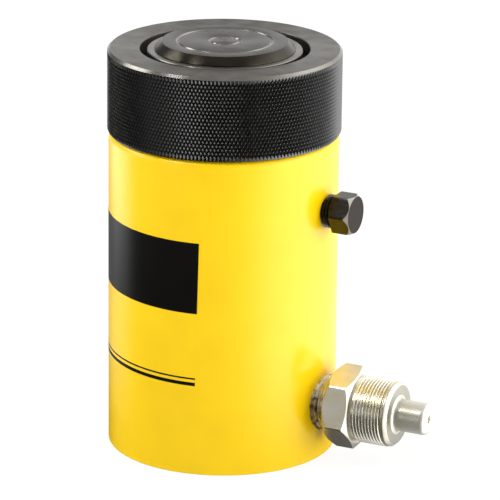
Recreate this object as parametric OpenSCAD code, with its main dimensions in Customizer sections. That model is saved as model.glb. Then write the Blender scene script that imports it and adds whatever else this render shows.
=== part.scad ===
// Single-acting hydraulic cylinder with a threaded plunger and a mechanical lock nut.
// The origin is the centre of the base, +Z runs up the plunger and +X along the coupler.
// All sizes are in millimetres, with the plunger retracted and the nut seated.

/* [Barrel] */
// Outside diameter of the barrel
barrel_od = 102; // [98:0.5:110]
// Length of barrel left above the piston head at full stroke
piston_cover = 8.8; // [6:0.1:15]
// Bore of the barrel
bore_d = 73; // [70:0.5:74]
// Chamfer round the nut seat
seat_chamfer = 1.8; // [0.5:0.1:2.5]
// Chamfer round the foot of the barrel
foot_chamfer = 0.6; // [0.3:0.1:1.5]

/* [Base] */
// Diameter of the plug that closes the bottom of the barrel
base_plug_d = 78; // [76:0.5:79]
// Height of the base plug
base_plug_h = 20; // [18:0.5:21]
// Width of the face spanner holes across their centres
spanner_pitch = 48; // [40:1:56]
// Diameter of the face spanner holes
spanner_hole_d = 8; // [6:0.5:10]
// Depth of the face spanner holes
spanner_hole_depth = 7; // [4:0.5:9]
// Section of the base O-ring
base_ring_w = 3.5; // [2.5:0.1:4.5]
// Thickness of the base backup ring
base_backup_w = 1.5; // [1:0.1:2]

/* [Plunger] */
// Working stroke, which sets the height of the barrel and of the overflow port
stroke = 75; // [62:1:90]
// Pitch of the plunger and nut thread
thread_pitch = 4; // [3.5:0.1:4.5]
// Depth of the plunger thread
thread_depth = 2; // [1.6:0.1:2.2]
// Width of the plunger thread's crest
thread_crest = 1.3; // [1:0.05:1.4]
// Height of the piston head above the seal pack
piston_h = 21; // [18:0.5:22]
// Height of the guide ring in the piston head
guide_h = 10; // [6:0.5:12]
// Depth of the guide ring groove
guide_depth = 2.5; // [1.5:0.1:3.5]
// Height of the piston seal
seal_h = 8; // [6:0.5:9]
// Radial width of the piston seal
seal_w = 7; // [5:0.5:8]
// Height of the piston backup ring
backup_h = 3; // [2:0.25:4]
// Thickness of the seal retainer
retainer_h = 4; // [3:0.25:5]
// Thickness of the snap ring
snap_h = 1.5; // [1.2:0.1:2]
// Length of the foot below the snap ring
foot_h = 2; // [1.5:0.1:3]
// Diameter of the foot that the retainer slides over
foot_d = 48; // [44:0.5:50]
// Diameter of the bolt that holds the piston head on the plunger
bolt_d = 16; // [12:1:18]
// Length of the piston bolt in the plunger
bolt_grip = 24; // [18:1:30]
// Drop of the plunger's end below the top of the nut
plunger_drop = 0.5; // [0.2:0.1:2]

/* [Saddle] */
// Diameter of the saddle
saddle_d = 62; // [54:0.5:66]
// Height of the saddle above the plunger's end
saddle_h = 3.65; // [3.5:0.05:6]
// Chamfer round the top of the saddle
saddle_chamfer = 3.3; // [1:0.1:3.3]
// Diameter of the inner groove in the saddle's face
inner_groove_d = 13; // [8:0.1:20]
// Diameter of the outer groove in the saddle's face
outer_groove_d = 41.5; // [30:0.1:46]
// Width of the saddle grooves
groove_w = 1.2; // [0.6:0.1:2]
// Depth of the saddle grooves
groove_depth = 0.8; // [0.4:0.1:1.5]
// Diameter of the saddle's spigot
spigot_d = 28; // [24:0.5:34]
// Length of the saddle's spigot
spigot_h = 14; // [12:0.5:18]
// Section of the saddle O-ring
saddle_ring_w = 2.6; // [2:0.1:3.5]

/* [Lock nut] */
// Outside diameter of the lock nut
nut_od = 103.3; // [99:0.1:112]
// Height of the lock nut
nut_h = 37.5; // [30:0.5:45]
// Chamfer round the top and bottom of the nut
nut_chamfer = 1.15; // [0.6:0.05:3]
// Depth of the nut's knurl
knurl_depth = 0.65; // [0.3:0.05:0.8]
// Knurl points round the nut, fewer and wider than the fine knurl of the real one
knurl_around = 38; // [24:2:48]
// Knurl points up the nut
knurl_rows = 4; // [3:1:6]
// Depth of the plain mouth at each end of the nut's thread
mouth_h = 1.6; // [1:0.1:3]
// Radial step from the nut's thread to its mouth
mouth_step = 0.5; // [0.1:0.05:1.5]

/* [Overflow plug] */
// Height of the overflow port above the piston seal's lips at full stroke
overflow_rise = 11; // [8:0.1:14]
// Diameter of the overflow plug's thread
overflow_d = 14.9; // [12:0.1:17]
// Depth of the overflow thread in the barrel wall
overflow_depth = 9; // [7:0.5:10]
// Length of thread that shows between the barrel and the hex
overflow_gap = 4.3; // [3:0.1:8]
// Width of the overflow plug's hex across its flats
overflow_af = 16.6; // [15:0.1:22]
// Height of the overflow plug's hex
overflow_hex_h = 9.1; // [6:0.1:12]
// Hole from the overflow thread into the bore
overflow_hole_d = 4; // [3:0.5:6]
// Pitch of the overflow plug's thread
overflow_pitch = 1.4; // [1:0.1:2]

/* [Coupler] */
// Height of the coupler's axis above the base
coupler_z = 25; // [24:0.1:30]
// Diameter of the coupler's pipe thread
port_d = 24; // [20:0.5:24]
// Depth of the pipe thread in the barrel wall
port_depth = 9; // [7:0.5:10]
// Length of pipe thread that shows between the barrel and the hex
port_gap = 9.2; // [5:0.1:12]
// Pitch of the pipe thread
port_pitch = 1.8; // [1.4:0.1:2.2]
// Hole from the pipe thread into the bore
port_hole_d = 6; // [4:0.5:8]
// Width of the coupler's hex across its flats
coupler_af = 32.6; // [31:0.1:36]
// Height of the coupler's hex
coupler_hex_h = 8.7; // [6:0.1:12]
// Diameter of the coupler's male thread
coupler_d = 29.8; // [26:0.1:30]
// Length of the male thread, from the hex to the end face
coupler_len = 18.1; // [16:0.1:26]
// Pitch of the male thread
coupler_pitch = 1.5; // [1.2:0.1:2]
// Diameter of the nose
nose_d = 14.2; // [13:0.1:16]
// Length of the nose past the end face
nose_len = 14.9; // [12:0.1:20]
// Rounding of the nose's end
nose_round = 2.4; // [1:0.1:3]
// Hole in the nose's end
nose_hole_d = 3.6; // [2.5:0.1:4.5]
// Diameter of the check ball
ball_d = 7; // [6:0.1:7.4]
// Opening travel of the check ball
ball_travel = 1.8; // [1:0.1:2]
// Wire of the check spring
spring_wire = 0.8; // [0.5:0.05:0.9]
// Turns of the check spring
spring_turns = 5; // [4:1:6]

/* [Decal] */
// Height of the decal's lower edge above the base
decal_z = 39.4; // [38.5:0.1:60]
// Height of the decal
decal_h = 68; // [40:0.5:68]
// Angle that the decal wraps round the barrel
decal_sweep = 150; // [90:1:170]
// Angle of the decal's trailing edge, from the coupler
decal_edge = -76.3; // [-80:0.1:-60]
// Thickness of the decal
decal_t = 0.12; // [0.1:0.01:0.3]

/* [Hidden] */
$fn = 96;

// Clearances: running parts, threads that are screwed up tight, and a piece at rest on its stop
run_gap = 0.06;
screw_gap = 0.05;
rest_gap = 0.3;
thread_bore_gap = 0.3;
thread_gap = 0.4;
thread_end_gap = 0.25;
over = 1;

barrel_r = barrel_od / 2;
bore_r = bore_d / 2;
base_plug_r = base_plug_d / 2;

// Helical thread: the flanks lean by 15 degrees, and each turn has thread_sides straight stretches
thread_sides = 24;
flank_lean = tan(15);
thread_r = bore_r - thread_bore_gap;
root_r = thread_r - thread_depth;

// Seal pack, from the plunger's foot up
foot_z = base_plug_h + rest_gap;
snap_z = foot_z + foot_h;
retainer_z = snap_z + snap_h;
seal_z = retainer_z + retainer_h;
backup_z = seal_z + seal_h;
piston_z = backup_z + backup_h;
guide_z = piston_z + (piston_h - guide_h) / 2;
piston_top = piston_z + piston_h;
foot_r = foot_d / 2;
seal_land_r = bore_r - seal_w;
piston_r = bore_r - run_gap;
foot_edge = 1;
snap_depth = 1.6;
snap_stand = 3;
snap_opening = 20;
retainer_margin = 1;

// Heights that follow the stroke: the nut seat, the overflow port, and the tops of the nut and plunger
barrel_h = piston_top + stroke + piston_cover;
overflow_z = seal_z + stroke + overflow_rise;
nut_top = barrel_h + nut_h;
plunger_top = nut_top - plunger_drop;

// Socket head bolt: head one and a half bolt diameters across and as high as the bolt is thick
bolt_r = bolt_d / 2;
bolt_head_r = bolt_d * 0.75;
bolt_head_h = bolt_d;
bolt_key = 0.98;

// The thread covers what the nut can reach, and the end land is a plain ring above it
land_h = 4;
thread_z = piston_top + thread_pitch / 2;
thread_turns = floor((plunger_top - land_h - thread_z) / thread_pitch) - 1;

// The nut's groove is the plunger's ridge grown by the thread gaps. The corners of its sides stand
// out so that the flats between them still clear a turning ridge.
side_grow = 1 / cos(180 / thread_sides);
nut_root_r = (root_r + thread_gap) * side_grow;
nut_crest_r = (thread_r + thread_gap) * side_grow;
nut_crest = thread_crest + 2 * (thread_end_gap - (nut_crest_r - thread_r) * flank_lean);
nut_mouth_r = nut_crest_r + mouth_step;
nut_start = thread_z + thread_pitch * floor((barrel_h - thread_z) / thread_pitch - 2);
nut_turns = ceil((nut_top - nut_start) / thread_pitch) + 2;

// Saddle, with its O-ring a share of the way down the spigot
saddle_z = plunger_top;
saddle_ring_share = 0.6;
saddle_ring_z = saddle_z - spigot_h * saddle_ring_share;
spigot_r = spigot_d / 2;
pocket_r = spigot_r + run_gap;
ring_squeeze = 0.9;

// Grooves for the base rings, below the plug's shoulder
base_groove_z = base_plug_h / 2 - (base_ring_w + base_backup_w) / 2;
base_groove_r = base_plug_r - base_ring_w * ring_squeeze;

// Overflow plug and coupler, as distances from the barrel's axis
overflow_x0 = barrel_r - overflow_depth;
overflow_hex_x = barrel_r + overflow_gap;
port_x0 = barrel_r - port_depth;
hex_x = barrel_r + port_gap;
male_x = hex_x + coupler_hex_h;
face_x = male_x + coupler_len;
tip_x = face_x + nose_len;

// End of the male thread: a short plain neck that tapers to the face
neck_len = 2;
neck_step = 0.4;
neck_taper = 1.2;

// Coupler bores: the nose sleeve screws into the body against a shoulder
sleeve_wall = 2;
sleeve_step = 3;
sleeve_r = nose_d / 2 + sleeve_wall;
sleeve_len = coupler_len - sleeve_step;
sleeve_x = face_x - sleeve_len;
way_r = port_hole_d / 2;
nose_ring_w = 2;
nose_ring_x = sleeve_x + sleeve_len / 2;

// Check valve: the ball rests on a 45 degree seat, and a stem behind it stops its travel
ball_r = ball_d / 2;
ball_gap = 0.7;
tip_wall = 2;
nose_bore_r = ball_r + ball_gap;
ball_x = tip_x - tip_wall - sqrt(2) * ball_r + nose_hole_d / 2;
seat_h = 2.5;
seat_notch_d = 2.4;
spring_r = ball_r - spring_wire;
spring_gap = 0.35;
spring_x0 = sleeve_x + seat_h + spring_wire / 2;
spring_x1 = ball_x - sqrt(pow(ball_r, 2) - pow(spring_r, 2)) - spring_wire / 2 - spring_gap;
stem_gap = 0.2;
stem_r = spring_r - spring_wire / 2 - stem_gap;
stem_x1 = ball_x - ball_travel - ball_r - screw_gap;

// Ringed threads: depth and crest width as shares of the pitch
ring_depth = 0.55;
ring_crest = 0.2;

// Each hex: its turn about its axis from a corner at the bottom, the round face that its turned chamfer
// leaves as a share of the flats, and the chamfer's drop for each millimetre of radius
overflow_turn = 30;
overflow_face = 0.985;
overflow_drop = 1.5;
coupler_turn = -13.9;
coupler_face = 0.97;
coupler_drop = 0.577;

// Points of a closed helical ridge: four corners of the ridge at each step, then the two end rings
function helix_points(root, crest, pitch, land, z0, turns, low, high, sides) =
    let (steps = turns * sides, flank = (crest - root) * flank_lean)
    concat(
        [for (i = [0 : steps])
            let (fade = min(1, 2 * i / sides, 2 * (steps - i) / sides),
                 a = 360 * i / sides,
                 z = z0 + pitch * i / sides,
                 r = root + (crest - root) * fade)
            each [[root * cos(a), root * sin(a), z],
                  [r * cos(a), r * sin(a), z + flank],
                  [r * cos(a), r * sin(a), z + flank + land],
                  [root * cos(a), root * sin(a), z + 2 * flank + land]]],
        [for (z = [low, high], i = [0 : sides - 1])
            [root * cos(360 * i / sides), root * sin(360 * i / sides), z]]);

// Triangles from a face's first corner to each of its other edges
function fan(face) = [for (i = [1 : len(face) - 2]) [face[0], face[i], face[i + 1]]];

// Faces of that ridge, clockwise from outside
function helix_faces(turns, sides) =
    let (steps = turns * sides, low = 4 * (steps + 1), high = low + sides)
    concat(
        [for (i = [0 : steps - 1], k = [0 : 2])
            each [[4 * i + k, 4 * i + k + 1, 4 * i + k + 5], [4 * i + k, 4 * i + k + 5, 4 * i + k + 4]]],
        [for (i = [0 : steps - sides - 1])
            let (a = 4 * i + 3, b = 4 * (i + sides))
            each [[a, b, b + 4], [a, b + 4, a + 4]]],
        [for (i = [0 : sides - 2])
            each [[low + i, 4 * i, 4 * i + 4], [low + i, 4 * i + 4, low + i + 1]]],
        fan([4 * (sides - 1), 4 * sides, 3, 2, 1, 0, low, low + sides - 1]),
        [for (i = [1 : sides - 1])
            let (d = 4 * (steps - sides + i) + 3)
            each [[d, high + i, high + (i + 1) % sides], [d, high + (i + 1) % sides, d + 4]]],
        let (d = 4 * (steps - sides) + 3, e = 4 * steps)
            fan([d + 4, d, e, e + 1, e + 2, e + 3, high, high + 1]),
        [[for (i = [0 : sides - 1]) low + i]],
        [[for (i = [sides - 1 : -1 : 0]) high + i]]);

// Solid screw: a root core from low to high with one helical ridge that fades out at both ends
module screw(root, crest, land, z0, turns, low, high) {
    polyhedron(points = helix_points(root, crest, thread_pitch, land, z0, turns, low, high, thread_sides),
               faces = helix_faces(turns, thread_sides), convexity = 10);
}

// Half profile of a ringed thread along Y, from y0 to y1, closed on the axis. Its root runs on below y0
// by lead, into the piece that it is joined to.
function ring_thread(crest, pitch, y0, y1, lead = 0) =
    let (n = floor((y1 - y0) / pitch), depth = ring_depth * pitch, pad = (y1 - y0 - n * pitch) / 2,
         flank = (1 - ring_crest) / 2 * pitch)
    concat([[0, y0 - lead], [crest - depth, y0 - lead]],
           [for (i = [0 : n - 1])
               let (y = y0 + pad + i * pitch)
               each [[crest - depth, y], [crest, y + flank],
                     [crest, y + pitch - flank], [crest - depth, y + pitch]]],
           [[crest - depth, y1], [0, y1]]);

// Turns a shape that stands on Z to lie along +X at height z
module along_x(z) {
    translate([0, 0, z])
        rotate([0, 90, 0])
            children();
}

// Hex bar on Z with a turned chamfer at its upper end
module hex_bar(across_flats, h, turn, face, drop) {
    corner_r = across_flats / sqrt(3);
    face_r = across_flats / 2 * face;
    wide_r = corner_r + over;
    intersection() {
        rotate([0, 0, turn])
            cylinder(r = corner_r, h = h, $fn = 6);
        rotate_extrude()
            polygon([[0, -over], [wide_r, -over], [wide_r, h - (wide_r - face_r) * drop], [face_r, h],
                     [0, h]]);
    }
}

// Round ring of the given section, flattened where it is squeezed between r0 and r1
module round_ring(r0, r1, z, w) {
    rotate_extrude()
        translate([(r0 + r1) / 2, z])
            intersection() {
                circle(d = w, $fn = 32);
                square([r1 - r0, w * 2], center = true);
            }
}

module barrel() {
    color("#f6d31b")
        difference() {
            rotate_extrude()
                polygon([[0, 0], [barrel_r - foot_chamfer, 0], [barrel_r, foot_chamfer],
                         [barrel_r, barrel_h - seat_chamfer], [barrel_r - seat_chamfer, barrel_h],
                         [0, barrel_h]]);
            translate([0, 0, base_plug_h / 2])
                cylinder(r = bore_r, h = barrel_h);
            translate([0, 0, -over])
                cylinder(r = base_plug_r + screw_gap, h = base_plug_h + over);
            along_x(coupler_z) {
                cylinder(r = way_r, h = barrel_r);
                translate([0, 0, port_x0])
                    cylinder(d = port_d + 2 * screw_gap, h = port_depth + over);
            }
            along_x(overflow_z) {
                cylinder(d = overflow_hole_d, h = barrel_r);
                translate([0, 0, overflow_x0])
                    cylinder(d = overflow_d + 2 * screw_gap, h = overflow_depth + over);
            }
        }
}

module base_plug() {
    color("#8a8d90")
        difference() {
            cylinder(r = base_plug_r, h = base_plug_h);
            rotate_extrude()
                translate([base_groove_r, base_groove_z])
                    square([base_plug_r, base_ring_w + base_backup_w]);
            for (side = [-1, 1])
                translate([0, side * spanner_pitch / 2, -over])
                    cylinder(d = spanner_hole_d, h = spanner_hole_depth + over);
        }
}

module base_o_ring() {
    color("#1c1c1c")
        round_ring(base_groove_r, base_plug_r + screw_gap, base_groove_z + base_backup_w + base_ring_w / 2,
                   base_ring_w);
}

module base_backup_ring() {
    color("#e8e4d6")
        rotate_extrude()
            translate([base_groove_r, base_groove_z])
                square([base_plug_r - base_groove_r, base_backup_w]);
}

module plunger() {
    color("#6d6f70")
        difference() {
            screw(root_r, thread_r, thread_crest, thread_z, thread_turns, piston_top, plunger_top);
            translate([0, 0, saddle_z - spigot_h - rest_gap])
                cylinder(r = pocket_r, h = spigot_h + over);
            translate([0, 0, piston_top - over])
                cylinder(r = bolt_r + screw_gap, h = bolt_grip + over + rest_gap);
        }
}

module piston_head() {
    color("#7b7e80")
        difference() {
            rotate_extrude()
                polygon([[0, foot_z], [foot_r - foot_edge, foot_z], [foot_r, foot_z + foot_edge],
                         [foot_r, snap_z], [foot_r - snap_depth, snap_z], [foot_r - snap_depth, retainer_z],
                         [foot_r, retainer_z], [foot_r, seal_z], [seal_land_r, seal_z],
                         [seal_land_r, piston_z], [piston_r, piston_z], [piston_r, guide_z],
                         [piston_r - guide_depth, guide_z], [piston_r - guide_depth, guide_z + guide_h],
                         [piston_r, guide_z + guide_h], [piston_r, piston_top - foot_edge],
                         [piston_r - foot_edge, piston_top], [0, piston_top]]);
            translate([0, 0, foot_z - over])
                cylinder(r = bolt_r + screw_gap, h = piston_top);
            translate([0, 0, foot_z - over])
                cylinder(r = bolt_head_r + rest_gap, h = bolt_head_h + rest_gap + over);
        }
}

module piston_bolt() {
    color("#3a3b3c")
        difference() {
            union() {
                translate([0, 0, foot_z + rest_gap])
                    cylinder(r = bolt_head_r, h = bolt_head_h);
                translate([0, 0, foot_z + rest_gap])
                    cylinder(r = bolt_r, h = piston_top + bolt_grip - foot_z - rest_gap);
            }
            translate([0, 0, foot_z + rest_gap - over])
                cylinder(r = bolt_r * bolt_key, h = bolt_head_h / 2 + over, $fn = 6);
        }
}

module piston_guide_ring() {
    color("#9c7a3c")
        rotate_extrude()
            translate([piston_r - guide_depth, guide_z])
                square([guide_depth + run_gap / 2, guide_h]);
}

module piston_backup_ring() {
    color("#e8e4d6")
        rotate_extrude()
            translate([seal_land_r, backup_z])
                square([seal_w - run_gap, backup_h]);
}

module piston_seal() {
    lip = seal_w / 3;
    color("#3d6f9c")
        rotate_extrude()
            translate([seal_land_r, seal_z])
                polygon([[0, 0], [lip, 0], [seal_w / 2, seal_h / 2], [seal_w - run_gap - lip, 0],
                         [seal_w - run_gap, 0], [seal_w - run_gap, seal_h], [0, seal_h]]);
}

module seal_retainer() {
    color("#a4a7aa")
        rotate_extrude()
            translate([foot_r, retainer_z])
                square([bore_r - retainer_margin - foot_r, retainer_h]);
}

module retainer_snap_ring() {
    color("#55585a")
        rotate([0, 0, snap_opening / 2])
            rotate_extrude(angle = 360 - snap_opening)
                translate([foot_r - snap_depth, snap_z])
                    square([snap_depth + snap_stand, snap_h]);
}

module saddle() {
    color("#77797a")
        difference() {
            union() {
                rotate_extrude()
                    polygon([[0, saddle_z], [saddle_d / 2, saddle_z],
                             [saddle_d / 2, saddle_z + saddle_h - saddle_chamfer],
                             [saddle_d / 2 - saddle_chamfer, saddle_z + saddle_h], [0, saddle_z + saddle_h]]);
                translate([0, 0, saddle_z - spigot_h])
                    cylinder(r = spigot_r, h = spigot_h + over);
            }
            for (d = [inner_groove_d, outer_groove_d])
                rotate_extrude()
                    translate([d / 2 - groove_w / 2, saddle_z + saddle_h - groove_depth])
                        square([groove_w, groove_depth + over]);
            rotate_extrude()
                translate([pocket_r - saddle_ring_w * ring_squeeze, saddle_ring_z - saddle_ring_w / 2])
                    square([saddle_ring_w, saddle_ring_w]);
        }
}

module saddle_o_ring() {
    color("#1c1c1c")
        round_ring(pocket_r - saddle_ring_w * ring_squeeze, pocket_r, saddle_ring_z, saddle_ring_w);
}

// Nut blank with a diamond knurl. On each level the points stand out and in by turns, and each cell is
// split along the groove between its two low corners.
module knurled_blank() {
    nut_r = nut_od / 2;
    sides = 2 * knurl_around;
    levels = 2 * knurl_rows;
    low = barrel_h + nut_chamfer;
    rise = (nut_h - 2 * nut_chamfer) / levels;
    flat_r = nut_r - nut_chamfer;
    points = concat(
        [for (i = [0 : sides - 1]) [flat_r * cos(360 * i / sides), flat_r * sin(360 * i / sides), barrel_h]],
        [for (k = [0 : levels], i = [0 : sides - 1])
            let (r = nut_r - ((i + k) % 2 == 0 ? knurl_depth : 0))
            [r * cos(360 * i / sides), r * sin(360 * i / sides), low + rise * k]],
        [for (i = [0 : sides - 1]) [flat_r * cos(360 * i / sides), flat_r * sin(360 * i / sides), nut_top]]);
    walls = [for (k = [0 : levels + 1], i = [0 : sides - 1])
                let (a = k * sides + i, b = k * sides + (i + 1) % sides, c = a + sides, d = b + sides)
                each (i + k) % 2 == 1 ? [[a, c, d], [a, d, b]] : [[a, c, b], [b, c, d]]];
    last = (levels + 2) * sides;
    ends = [[for (i = [0 : sides - 1]) i], [for (i = [sides - 1 : -1 : 0]) last + i]];
    polyhedron(points = points, faces = concat(walls, ends), convexity = 10);
}

module lock_nut() {
    color("#2b2b2a")
        difference() {
            knurled_blank();
            screw(nut_root_r, nut_crest_r, nut_crest,
                  nut_start + (thread_crest - nut_crest) / 2
                  + (thread_depth - nut_crest_r + nut_root_r) * flank_lean,
                  nut_turns, nut_start - thread_pitch, nut_start + thread_pitch * (nut_turns + 2));
            for (z = [barrel_h - over, nut_top - mouth_h])
                translate([0, 0, z])
                    cylinder(r = nut_mouth_r, h = mouth_h + over);
        }
}

module overflow_plug() {
    color("#35302b")
        along_x(overflow_z) {
            rotate_extrude()
                polygon(ring_thread(overflow_d / 2, overflow_pitch, overflow_x0, overflow_hex_x));
            translate([0, 0, overflow_hex_x])
                hex_bar(overflow_af, overflow_hex_h, overflow_turn, overflow_face, overflow_drop);
        }
}

module coupler_body() {
    color("#b9bbb4")
        along_x(coupler_z)
            difference() {
                union() {
                    translate([0, 0, port_x0])
                        cylinder(r = port_d / 2 - port_pitch, h = coupler_len + male_x - port_x0 - over);
                    rotate_extrude()
                        polygon(ring_thread(port_d / 2, port_pitch, port_x0, hex_x));
                    translate([0, 0, hex_x])
                        hex_bar(coupler_af, coupler_hex_h, coupler_turn, coupler_face, coupler_drop);
                    rotate_extrude()
                        polygon(ring_thread(coupler_d / 2, coupler_pitch, male_x, face_x - neck_len, over));
                    translate([0, 0, face_x - neck_len])
                        cylinder(r1 = coupler_d / 2 - neck_step, r2 = coupler_d / 2 - neck_step - neck_taper,
                                 h = neck_len);
                }
                translate([0, 0, port_x0 - over])
                    cylinder(r = way_r, h = tip_x);
                translate([0, 0, sleeve_x])
                    cylinder(r = sleeve_r + screw_gap, h = sleeve_len + over);
            }
}

module coupler_nose() {
    nose_r = nose_d / 2;
    seat_lip = nose_hole_d / 2;
    cone = nose_bore_r - seat_lip;
    color("#c9cac6")
        along_x(coupler_z)
            difference() {
                rotate_extrude()
                    union() {
                        translate([0, sleeve_x])
                            square([sleeve_r, sleeve_len]);
                        translate([0, sleeve_x])
                            square([nose_r, tip_x - nose_round - sleeve_x]);
                        translate([0, sleeve_x])
                            square([nose_r - nose_round, tip_x - sleeve_x]);
                        intersection() {
                            translate([nose_r - nose_round, tip_x - nose_round])
                                circle(r = nose_round, $fn = 48);
                            translate([0, tip_x - nose_round])
                                square([nose_r, nose_round]);
                        }
                    }
                translate([0, 0, -over])
                    cylinder(r = nose_bore_r, h = tip_x - tip_wall - cone + over);
                translate([0, 0, tip_x - tip_wall - cone])
                    cylinder(r1 = nose_bore_r, r2 = seat_lip, h = cone);
                cylinder(r = seat_lip, h = tip_x + over);
                rotate_extrude()
                    translate([sleeve_r - nose_ring_w * ring_squeeze, nose_ring_x - nose_ring_w / 2])
                        square([nose_ring_w, nose_ring_w]);
            }
}

module nose_o_ring() {
    color("#1c1c1c")
        along_x(coupler_z)
            round_ring(sleeve_r - nose_ring_w * ring_squeeze, sleeve_r + screw_gap, nose_ring_x, nose_ring_w);
}

// Notched disc that the spring stands on, with the stem that stops the ball
module spring_seat() {
    color("#9a9c9d")
        along_x(coupler_z)
            translate([0, 0, sleeve_x]) {
                difference() {
                    cylinder(r = nose_bore_r, h = seat_h);
                    for (a = [0 : 120 : 240])
                        rotate([0, 0, a])
                            translate([nose_bore_r, 0, -over])
                                cylinder(d = seat_notch_d, h = seat_h + 2 * over);
                }
                cylinder(r = stem_r, h = stem_x1 - sleeve_x);
            }
}

module check_ball() {
    color("#c4c6c8")
        along_x(coupler_z)
            translate([0, 0, ball_x])
                sphere(d = ball_d);
}

// Coil of the check spring, swept as a six-sided wire
module check_spring() {
    sides = 6;
    steps = spring_turns * 16;
    lead = spring_x1 - spring_x0;
    points = [for (i = [0 : steps], k = [0 : sides - 1])
                 let (a = 360 * spring_turns * i / steps, b = 360 * k / sides,
                      r = spring_r + spring_wire / 2 * cos(b))
                 [r * cos(a), r * sin(a), spring_x0 + lead * i / steps + spring_wire / 2 * sin(b)]];
    walls = [for (i = [0 : steps - 1], k = [0 : sides - 1])
                let (a = i * sides + k, b = i * sides + (k + 1) % sides)
                each [[a, b + sides, b], [a, a + sides, b + sides]]];
    ends = [[for (k = [0 : sides - 1]) k],
            [for (k = [sides - 1 : -1 : 0]) steps * sides + k]];
    color("#8d9093")
        along_x(coupler_z)
            polyhedron(points = points, faces = concat(walls, ends), convexity = 10);
}

module decal() {
    color("#1a1a1a")
        rotate([0, 0, decal_edge - decal_sweep])
            rotate_extrude(angle = decal_sweep)
                translate([barrel_r, decal_z])
                    square([decal_t, decal_h]);
}

barrel();
base_plug();
base_o_ring();
base_backup_ring();
plunger();
piston_head();
piston_bolt();
piston_guide_ring();
piston_backup_ring();
piston_seal();
seal_retainer();
retainer_snap_ring();
saddle();
saddle_o_ring();
lock_nut();
overflow_plug();
coupler_body();
coupler_nose();
nose_o_ring();
check_ball();
check_spring();
spring_seat();
decal();
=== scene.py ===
import math
import random

import bmesh
import bpy
from bpy.props import FloatProperty, IntProperty, PointerProperty, StringProperty
from mathutils import Matrix, Vector, noise


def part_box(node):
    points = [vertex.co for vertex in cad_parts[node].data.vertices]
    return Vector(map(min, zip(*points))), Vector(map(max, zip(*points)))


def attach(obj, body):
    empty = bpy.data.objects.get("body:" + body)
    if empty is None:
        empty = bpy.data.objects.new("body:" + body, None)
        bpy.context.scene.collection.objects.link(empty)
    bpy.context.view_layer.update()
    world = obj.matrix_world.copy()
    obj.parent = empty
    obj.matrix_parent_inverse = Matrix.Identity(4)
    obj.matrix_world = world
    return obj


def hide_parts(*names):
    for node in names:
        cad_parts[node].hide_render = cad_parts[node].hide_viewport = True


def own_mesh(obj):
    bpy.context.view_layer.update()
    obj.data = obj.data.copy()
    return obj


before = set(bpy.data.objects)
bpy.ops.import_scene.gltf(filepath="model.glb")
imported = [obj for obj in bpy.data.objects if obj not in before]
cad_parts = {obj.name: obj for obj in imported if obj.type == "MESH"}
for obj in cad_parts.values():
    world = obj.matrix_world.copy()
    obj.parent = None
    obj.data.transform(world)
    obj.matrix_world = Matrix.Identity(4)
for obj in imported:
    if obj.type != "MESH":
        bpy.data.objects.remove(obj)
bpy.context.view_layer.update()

bl_info = {
    "name": "Lock-nut hydraulic cylinder",
    "version": (1, 0, 0),
    "blender": (4, 5, 0),
    "location": "View3D > Sidebar > Cylinder",
    "description": "Dresses the packed cylinder with its painted, turned, knurled and plated pieces",
    "category": "Object",
}

MM = 0.001

# Steps round a turned piece, a thread and a hex
ROUND_STEPS = 192
THREAD_STEPS = 96
HEX_STEPS = 6 * 24
# Distance at which two points are one, and how far the shapes of one piece run into each other
WELD = 1e-7
OVERLAP = 1 * MM
# Middle range of a noise texture
NOISE_LOW, NOISE_HIGH = 0.3, 0.7

# Places that other pieces are set out from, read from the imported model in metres
BARREL_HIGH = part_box("barrel")[1]
NUT_LOW, NUT_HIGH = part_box("lock_nut")
PLUNGER_LOW, PLUNGER_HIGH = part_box("plunger")
SADDLE_LOW, SADDLE_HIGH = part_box("saddle")
PLUG_LOW, PLUG_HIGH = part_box("overflow_plug")
COUPLER_LOW, COUPLER_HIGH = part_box("coupler_body")
NOSE_LOW, NOSE_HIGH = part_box("coupler_nose")
DECAL_LOW, DECAL_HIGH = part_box("decal")
COUPLER_Z = (NOSE_LOW.z + NOSE_HIGH.z) / 2
PLUG_Z = (PLUG_LOW.z + PLUG_HIGH.z) / 2

# The room round the cylinder: brightness at each bearing in degrees, right of the camera's side
WALLS = [(-180, 0.9), (-156, 0.95), (-145, 1.4), (-136, 2.7), (-111, 2.6), (-106, 1.2), (-97, 0.3),
         (-84, 0.13), (-50, 0.03), (-20, 0.05), (0, 0.15), (11, 0.3), (21, 0.65), (31, 1.5), (41, 2.6),
         (51, 3.7), (63, 4.0), (87, 4.0), (102, 3.5), (116, 2.4), (130, 1.7), (150, 1.2), (180, 0.9)]
BRIGHTEST = 4.0
SKY = 0.6
# How far the walls show at each height, from straight down at -1 to straight up at 1
HEIGHTS = [(-1.0, 0.4), (-0.8, 0.8), (-0.5, 1.0), (0.62, 1.0), (0.85, 0.0)]
# Bearings where the walls stand low, and how far those show at each height
LOW_BEARINGS = [(-165, 0.0), (-148, 1.0), (-32, 1.0), (-15, 0.0),
                (14, 0.0), (24, 0.75), (46, 0.75), (56, 0.0)]
LOW_HEIGHTS = [(-0.62, 0.25), (-0.45, 1.0), (-0.2, 1.0), (0.02, 0.15)]

# The floor: its glow, the shares of it that the camera and the diffuse rays get, and how far
# mirror and light rays pass it at each distance in metres, to the left and round the cylinder
FLOOR_SIZE = 8.0
FLOOR_GLOW = 1.05
FLOOR_SEEN = 0.85
FLOOR_BOUNCE = 0.9
FLOOR_LEFT = [(0.0, 1.0), (0.04, 0.28), (0.22, 0.32), (0.4, 1.0)]
FLOOR_NEAR = [(0.06, 0.12), (0.15, 1.0)]

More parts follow.
